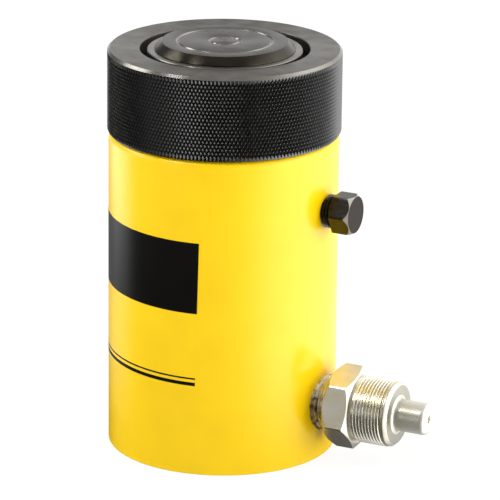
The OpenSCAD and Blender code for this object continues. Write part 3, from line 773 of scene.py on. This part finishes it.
class CYLINDER_OT_coupler_body(bpy.types.Operator):
    """Make the plated coupler: pipe thread, hex and long male thread"""

    bl_idname = "cylinder.coupler_body"
    bl_label = "Coupler body"

    def execute(self, context):
        sizes = context.scene.cylinder_sizes
        colours = context.scene.cylinder_colours
        across = 32.6 * MM
        hex_turn = math.radians(-13.9)
        hex_low = BARREL_HIGH.x + 5.6 * MM
        hex_high = hex_low + 12.3 * MM
        port = 12.0 * MM
        port_depth = 1 * MM
        male = 14.9 * MM
        male_depth = 0.9 * MM
        relief_end = hex_high + 2.2 * MM
        relief_slope = 0.7 * MM
        face = COUPLER_HIGH.x
        neck = male - 0.35 * MM
        neck_low = face - 3 * MM
        neck_high = face - 1.5 * MM
        thread_high = face - 2.4 * MM
        neck_round = 0.25 * MM
        face_radius = male - 1.8 * MM
        facing_out = 0.9
        hex_index, thread_index, face_index = range(3)

        def male_limit(z):
            return male - male_depth * max(0, min(1, (relief_end - z) / relief_slope))

        bm = bmesh.new()
        thread_rod(bm, port, port - port_depth, sizes.port_pitch, COUPLER_LOW.x, hex_low + OVERLAP)
        paint_faces(bm, thread_index)
        head = bmesh.new()
        hex_head(head, across, hex_low, hex_high, hex_turn, face_share=0.97, lean=0.577, back_lean=1.0)
        join(bm, head)
        screw = bmesh.new()
        thread_rod(screw, male, male - male_depth, sizes.male_pitch, hex_high - OVERLAP, thread_high)
        limit_radius(screw, male_limit)
        paint_faces(screw, thread_index)
        join(bm, screw)
        end = bmesh.new()
        spin_profile(end, [(0, neck_low), (neck, neck_low), (neck, neck_high), (face_radius, face),
                           (0, face)], closed=False)
        soften(end, neck_round)
        # The end face takes a darker copy of the zinc as painted shade
        for flat in end.faces:
            flat.material_index = face_index if abs(flat.normal.z) > facing_out else hex_index
        join(bm, end)
        along_x(bm, COUPLER_Z)
        finish_piece(bm, "coupler_thread_body", "barrel",
                     [zinc_plate("zinc_hex", colours.zinc, roughness=0.36, grain_size=0.4, metallic=0.95),
                      zinc_plate("zinc_thread", colours.zinc, roughness=0.3, grain_size=0.8, metallic=0.9),
                      zinc_plate("zinc_end_face", colours.shaded_end_face, roughness=0.4, grain_size=0.4)],
                     ["coupler_body"], corner=25)
        return {"FINISHED"}


class CYLINDER_OT_coupler_nose(bpy.types.Operator):
    """Make the round-ended nose with its filleted root and valve hole"""

    bl_idname = "cylinder.coupler_nose"
    bl_label = "Coupler nose"

    def execute(self, context):
        colours = context.scene.cylinder_colours
        root = COUPLER_HIGH.x
        foot = root - 4 * MM
        tip = NOSE_HIGH.x
        radius = 7.1 * MM
        fillet = 1.6 * MM
        fillet_steps = 6
        dome = 2.4 * MM
        dome_steps = 8
        hole = 1.8 * MM
        hole_chamfer = 0.5 * MM
        hole_wall = 2 * MM
        hole_depth = 2.2 * MM
        profile = [(0, foot), (radius + fillet, foot)]
        for k in range(fillet_steps + 1):
            angle = math.pi / 2 * k / fillet_steps
            profile.append((radius + fillet * (1 - math.sin(angle)), root + fillet * (1 - math.cos(angle))))
        for k in range(dome_steps + 1):
            angle = math.pi / 2 * k / dome_steps
            profile.append((radius - dome * (1 - math.cos(angle)), tip - dome * (1 - math.sin(angle))))
        profile += [(hole + hole_chamfer, tip), (hole, tip - hole_chamfer), (hole, tip - hole_wall),
                    (0, tip - hole_depth)]
        bm = bmesh.new()
        spin_profile(bm, profile, steps=96, closed=False)
        along_x(bm, COUPLER_Z)
        plate = zinc_plate("zinc_nose", colours.zinc, roughness=0.3, grain_size=0.12, metallic=0.7)
        finish_piece(bm, "coupler_valve_nose", "barrel", [plate], ["coupler_nose"], corner=40)
        return {"FINISHED"}


class CYLINDER_OT_sealant(bpy.types.Operator):
    """Make the stringy thread paste where the coupler enters the barrel"""

    bl_idname = "cylinder.sealant"
    bl_label = "Thread sealant"

    def execute(self, context):
        low = BARREL_HIGH.x - 2.6 * MM
        lumps_around = 4
        lumps_along = 900
        other_lumps = Vector((9, 3, 1))
        # Rings of the lumpy collar: radius, height above its foot and lump size, in millimetres
        collar = [(12.2, 0.0, 0.0), (12.5, 1.4, 0.8), (12.3, 2.4, 1.1), (11.8, 3.3, 1.0), (11.2, 4.0, 0.3)]
        collar_steps = 120
        strands = 46
        strand_ring = 12.3 * MM
        strand_sides = 6
        strand_tip = 0.05 * MM
        random.seed(11)

        def ring(radius, height, lump):
            def shape(angle):
                spot = Vector((math.cos(angle) * lumps_around, math.sin(angle) * lumps_around,
                               height * lumps_along))
                swell = lump * noise.noise(spot)
                rise = lump * 0.8 * noise.noise(spot + other_lumps)
                return radius + swell, height + rise
            return shape

        bm = bmesh.new()
        loft(bm, [ring(radius * MM, low + rise * MM, lump * MM) for radius, rise, lump in collar],
             collar_steps)
        for _ in range(strands):
            angle = random.uniform(0, math.tau)
            length = random.uniform(2.0, 4.5) * MM
            outward = Vector((math.cos(angle), math.sin(angle), 0))
            place = strand_ring * outward
            place.z = low + random.uniform(1.6, 3.4) * MM
            along = Vector((-math.sin(angle), math.cos(angle), random.uniform(-0.5, 0.7)))
            along += 0.45 * random.uniform(-0.4, 1.0) * outward
            matrix = Matrix.Translation(place) @ along.to_track_quat("Z", "Y").to_matrix().to_4x4()
            bmesh.ops.create_cone(bm, cap_ends=True, segments=strand_sides,
                                  radius1=random.uniform(0.2, 0.4) * MM, radius2=strand_tip,
                                  depth=length, matrix=matrix)
        along_x(bm, COUPLER_Z)
        finish_piece(bm, "coupler_thread_paste", "barrel",
                     [thread_paste(context.scene.cylinder_colours)], corner=60)
        return {"FINISHED"}


class CYLINDER_OT_check_spring(bpy.types.Operator):
    """Make the check valve's coil spring at the imported spring's length; the real spring shortens as the
    ball opens
    """

    bl_idname = "cylinder.check_spring"
    bl_label = "Check spring"

    def execute(self, context):
        low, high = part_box("check_spring")
        wire = 0.4 * MM
        wire_sides = 8
        turns = 5
        steps = turns * 24
        radius = (high.y - low.y) / 2 - wire
        lead = high.x - low.x - 2 * wire
        bm = bmesh.new()
        place = Matrix.Translation((radius, 0, low.x + wire)) @ Matrix.Rotation(math.pi / 2, 4, "X")
        verts = bmesh.ops.create_circle(bm, cap_ends=False, radius=wire, segments=wire_sides,
                                        matrix=place)["verts"]
        edges = list({e for v in verts for e in v.link_edges})
        spin(bm, verts + edges, math.tau * turns, steps, rise=lead / steps)
        close_ends(bm)
        along_x(bm, COUPLER_Z)
        steel = zinc_plate("spring_steel", context.scene.cylinder_colours.polished, roughness=0.16,
                           grain_size=1.5)
        piece = finish_piece(bm, "check_spring_coil", "barrel", [steel], ["check_spring"])
        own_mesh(piece)
        return {"FINISHED"}


class CYLINDER_OT_inner_pieces(bpy.types.Operator):
    """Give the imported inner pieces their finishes"""

    bl_idname = "cylinder.inner_pieces"
    bl_label = "Inner pieces"

    def execute(self, context):
        colours = context.scene.cylinder_colours
        steel = turned_steel("turned_inner_steel", colours.inner_steel, roughness=0.3)
        rubber = soft_solid("nitrile_rubber", colours.rubber, roughness=0.55, grain_size=2)
        plastic = soft_solid("seal_plastic", colours.seal, roughness=0.45, grain_size=4)
        bronze = turned_steel("turned_bronze", colours.bronze, roughness=0.32)
        polished = zinc_plate("polished_steel", colours.polished, roughness=0.12, grain_size=1.5)
        bolt = black_oxide("oxide_bolt", colours.oxide, roughness=0.35, ior=1.75)
        finishes = {
            "base_plug": steel, "piston_head": steel, "seal_retainer": steel, "retainer_snap_ring": steel,
            "spring_seat": steel, "base_o_ring": rubber, "saddle_o_ring": rubber, "nose_o_ring": rubber,
            "piston_seal": rubber, "base_backup_ring": plastic, "piston_backup_ring": plastic,
            "piston_guide_ring": bronze, "check_ball": polished, "piston_bolt": bolt}
        for name, material in finishes.items():
            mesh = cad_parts[name].data
            mesh.materials.clear()
            mesh.materials.append(material)
        return {"FINISHED"}


class CYLINDER_OT_stage(bpy.types.Operator):
    """Set the camera, the pale floor and the soft studio light"""

    bl_idname = "cylinder.stage"
    bl_label = "Stage"

    def execute(self, context):
        scene = context.scene
        stage = scene.cylinder_stage
        turn = Matrix.Rotation(stage.azimuth, 3, "Z")
        scene.view_settings.view_transform = "Standard"
        self.camera(scene, stage, turn)
        self.floor(scene, turn)
        self.lamps(scene, turn)
        self.world(scene, turn)
        return {"FINISHED"}

    def camera(self, scene, stage, turn):
        """The photograph's camera, which leans a little."""
        forward = turn @ Vector((0, math.cos(stage.elevation), -math.sin(stage.elevation)))
        right = turn @ Vector((1, 0, 0))
        up = right.cross(forward)
        across = math.cos(stage.roll) * right + math.sin(stage.roll) * up
        upward = across.cross(forward)
        target = turn @ Vector((stage.target_side, 0, stage.target_height))
        data = bpy.data.cameras.new("photo_camera")
        data.sensor_width = 36.0
        data.lens = stage.lens
        data.clip_start = 0.05
        data.clip_end = 50.0
        camera = bpy.data.objects.new("photo_camera", data)
        axes = Matrix((across, upward, -forward)).transposed().to_4x4()
        camera.matrix_world = Matrix.Translation(target - forward * stage.distance) @ axes
        scene.collection.objects.link(camera)
        scene.camera = camera

    def floor(self, scene, turn):
        """Pale to the camera. Mirror and light rays pass it, dimmed on the left and near the cylinder."""
        bm = bmesh.new()
        bmesh.ops.create_grid(bm, x_segments=1, y_segments=1, size=FLOOR_SIZE)
        mesh = bpy.data.meshes.new("studio_floor")
        bm.to_mesh(mesh)
        bm.free()
        material = bpy.data.materials.new("pale_floor")
        material.use_nodes = True
        tree = material.node_tree
        tree.nodes.clear()
        ray = add_node(tree, "LightPath").outputs
        matte = add_node(tree, "BsdfDiffuse", {"Color": grey(0.8)})
        glow = add_node(tree, "Emission", {"Color": grey(1.0), "Strength": FLOOR_GLOW})
        seen = add_node(tree, "Math", {0: ray["Is Camera Ray"], 1: FLOOR_SEEN}, operation="MULTIPLY")
        share = add_node(tree, "Math", {0: ray["Is Diffuse Ray"], 1: FLOOR_BOUNCE, 2: seen},
                         operation="MULTIPLY_ADD")
        shown = add_node(tree, "MixShader", {0: share, 1: matte, 2: glow})
        place = add_node(tree, "TexCoord").outputs["Object"]
        left = add_node(tree, "VectorMath", {0: place, 1: turn @ Vector((-1, 0, 0))},
                        operation="DOT_PRODUCT")
        away = add_node(tree, "VectorMath", {0: place}, operation="LENGTH")
        tone = add_node(tree, "ValToRGB", {"Fac": left},
                        stops=[(distance, grey(level)) for distance, level in FLOOR_LEFT])
        near = add_node(tree, "ValToRGB", {"Fac": away},
                        stops=[(distance, grey(level)) for distance, level in FLOOR_NEAR])
        both = add_node(tree, "Mix", {"Factor": 1.0, "A": tone, "B": near}, data_type="RGBA",
                        blend_type="MULTIPLY")
        clear = add_node(tree, "BsdfTransparent", {"Color": both})
        passed = add_node(tree, "Math", {0: ray["Is Glossy Ray"], 1: ray["Is Shadow Ray"]},
                          operation="MAXIMUM")
        mixed = add_node(tree, "MixShader", {0: passed, 1: shown, 2: clear})
        add_node(tree, "OutputMaterial", {"Surface": mixed})
        mesh.materials.append(material)
        floor = bpy.data.objects.new("studio_floor", mesh)
        scene.collection.objects.link(floor)

    def lamps(self, scene, turn):
        """Softboxes that face the cylinder."""
        for name, place, (width, height), power, mirrored in SOFTBOXES:
            data = bpy.data.lights.new(name, "AREA")
            data.shape = "RECTANGLE"
            data.size = width
            data.size_y = height
            data.energy = power
            lamp = bpy.data.objects.new(name, data)
            spot = turn @ Vector(place)
            lamp.rotation_mode = "QUATERNION"
            lamp.rotation_quaternion = (LIGHT_AIM - spot).to_track_quat("-Z", "Y")
            lamp.location = spot
            lamp.visible_glossy = mirrored
            scene.collection.objects.link(lamp)

    def world(self, scene, turn):
        """White to the camera, and to all else a room with pale walls on its right and its left rear."""
        world = bpy.data.worlds.new("studio_world")
        scene.world = world
        world.use_nodes = True
        tree = world.node_tree
        tree.nodes.clear()
        ray = add_node(tree, "LightPath").outputs
        seen = add_node(tree, "Math", {0: ray["Is Camera Ray"], 1: ray["Is Transmission Ray"]},
                        operation="MAXIMUM")
        room = add_node(tree, "TexCoord").outputs["Generated"]
        right = add_node(tree, "VectorMath", {0: room, 1: turn @ Vector((1, 0, 0))},
                         operation="DOT_PRODUCT")
        front = add_node(tree, "VectorMath", {0: room, 1: turn @ Vector((0, -1, 0))},
                         operation="DOT_PRODUCT")
        angle = add_node(tree, "Math", {0: right, 1: front}, operation="ARCTAN2")
        bearing = add_node(tree, "MapRange", {"Value": angle, "From Min": -math.pi, "From Max": math.pi})
        up = add_node(tree, "SeparateXYZ", {"Vector": room}).outputs["Z"]
        height = add_node(tree, "MapRange", {"Value": up, "From Min": -1.0, "From Max": 1.0})

        def bearing_stops(levels, most=1.0):
            return [((side + 180) / 360, grey(level / most)) for side, level in levels]

        def height_stops(levels):
            return [((z + 1) / 2, grey(level)) for z, level in levels]

        tall = add_node(tree, "ValToRGB", {"Fac": bearing}, stops=bearing_stops(WALLS, BRIGHTEST))
        low_share = add_node(tree, "ValToRGB", {"Fac": bearing}, stops=bearing_stops(LOW_BEARINGS))
        low_shown = add_node(tree, "ValToRGB", {"Fac": height}, stops=height_stops(LOW_HEIGHTS))
        wall_share = add_node(tree, "ValToRGB", {"Fac": height}, stops=height_stops(HEIGHTS))
        kept = add_node(tree, "Mix", {"Factor": low_share, "A": grey(1.0), "B": low_shown},
                        data_type="RGBA")
        walls = add_node(tree, "Mix", {"Factor": 1.0, "A": tall, "B": kept}, data_type="RGBA",
                         blend_type="MULTIPLY")
        sky = add_node(tree, "Mix", {"Factor": wall_share, "A": grey(SKY / BRIGHTEST), "B": walls},
                       data_type="RGBA")
        soft = add_node(tree, "Background", {"Color": sky, "Strength": BRIGHTEST})
        white = add_node(tree, "Background", {"Color": grey(1.0), "Strength": 1.0})
        mixed = add_node(tree, "MixShader", {0: seen, 1: soft, 2: white})
        add_node(tree, "OutputWorld", {"Surface": mixed})


class CYLINDER_PT_panel(bpy.types.Panel):
    """Lists the cylinder's pieces and settings in the sidebar"""

    bl_idname = "CYLINDER_PT_panel"
    bl_label = "Cylinder"
    bl_space_type = "VIEW_3D"
    bl_region_type = "UI"
    bl_category = "Cylinder"

    def draw(self, context):
        for operator in OPERATORS:
            self.layout.operator(operator.bl_idname)
        for key in GROUPS:
            group = getattr(context.scene, key)
            for name in group.__annotations__:
                self.layout.prop(group, name)


OPERATORS = (CYLINDER_OT_stage, CYLINDER_OT_barrel, CYLINDER_OT_decal, CYLINDER_OT_lock_nut,
             CYLINDER_OT_plunger, CYLINDER_OT_saddle, CYLINDER_OT_overflow_plug, CYLINDER_OT_coupler_body,
             CYLINDER_OT_coupler_nose, CYLINDER_OT_sealant, CYLINDER_OT_check_spring,
             CYLINDER_OT_inner_pieces)
GROUPS = {"cylinder_sizes": CylinderSizes, "cylinder_colours": CylinderColours,
          "cylinder_stage": CylinderStage}


def register():
    for group in GROUPS.values():
        bpy.utils.register_class(group)
    for name, group in GROUPS.items():
        setattr(bpy.types.Scene, name, PointerProperty(type=group))
    for operator in OPERATORS:
        bpy.utils.register_class(operator)
    bpy.utils.register_class(CYLINDER_PT_panel)


def unregister():
    bpy.utils.unregister_class(CYLINDER_PT_panel)
    for operator in reversed(OPERATORS):
        bpy.utils.unregister_class(operator)
    for name in GROUPS:
        delattr(bpy.types.Scene, name)
    for group in reversed(list(GROUPS.values())):
        bpy.utils.unregister_class(group)


def main():
    register()
    bpy.ops.cylinder.stage()
    bpy.ops.cylinder.barrel()
    bpy.ops.cylinder.decal()
    bpy.ops.cylinder.lock_nut()
    bpy.ops.cylinder.plunger()
    bpy.ops.cylinder.saddle()
    bpy.ops.cylinder.overflow_plug()
    bpy.ops.cylinder.coupler_body()
    bpy.ops.cylinder.coupler_nose()
    bpy.ops.cylinder.sealant()
    bpy.ops.cylinder.check_spring()
    bpy.ops.cylinder.inner_pieces()


if __name__ == "__main__":
    main()
